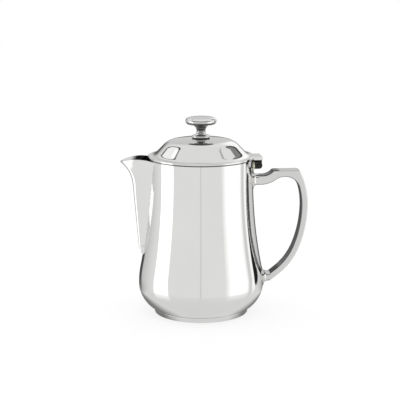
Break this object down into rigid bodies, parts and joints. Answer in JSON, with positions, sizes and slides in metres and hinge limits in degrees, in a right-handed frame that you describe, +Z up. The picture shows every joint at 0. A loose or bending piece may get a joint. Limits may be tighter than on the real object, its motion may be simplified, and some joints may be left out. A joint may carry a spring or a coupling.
{
  "type": "coffee pot",
  "caption": "Polished steel coffee pot with a pear-shaped body on a foot ring, an open beak spout, a loop handle and a domed lid with a knob on a hinge.",
  "frame": {"origin": "on the axis of the body, in the plane that the foot ring stands on", "axes": "+Z up the axis of the body, +X towards the handle and the hinge, with the spout at -X"},
  "size_m": [0.1678, 0.1126, 0.177],
  "materials": {
    "polished_steel": "mirror-polished stainless steel",
    "satin_steel": "stainless steel, as turned or stamped",
    "dark_steel": "steel, darkened by the brazing torch"
  },
  "bodies": {
    "pot": {"body_shell": "polished_steel", "foot_ring": "polished_steel", "spout": "polished_steel", "handle": "polished_steel", "upper_handle_socket": "polished_steel", "lower_handle_socket": "polished_steel", "hinge_bracket": "dark_steel", "hinge_pin": "dark_steel"},
    "lid": {"lid_shell": "polished_steel", "lid_locating_ring": "satin_steel", "lid_hinge_leaf": "polished_steel", "knob": "polished_steel", "knob_collar": "polished_steel", "knob_washer": "satin_steel", "knob_screw": "satin_steel"}
  },
  "joints": [
    {"name": "lid_hinge", "type": "hinge", "parent": "pot", "child": "lid", "pos_m": [0.0512, 0, 0.1336], "axis": [0, 1, 0], "range_deg": [0, 105]}
  ]
}
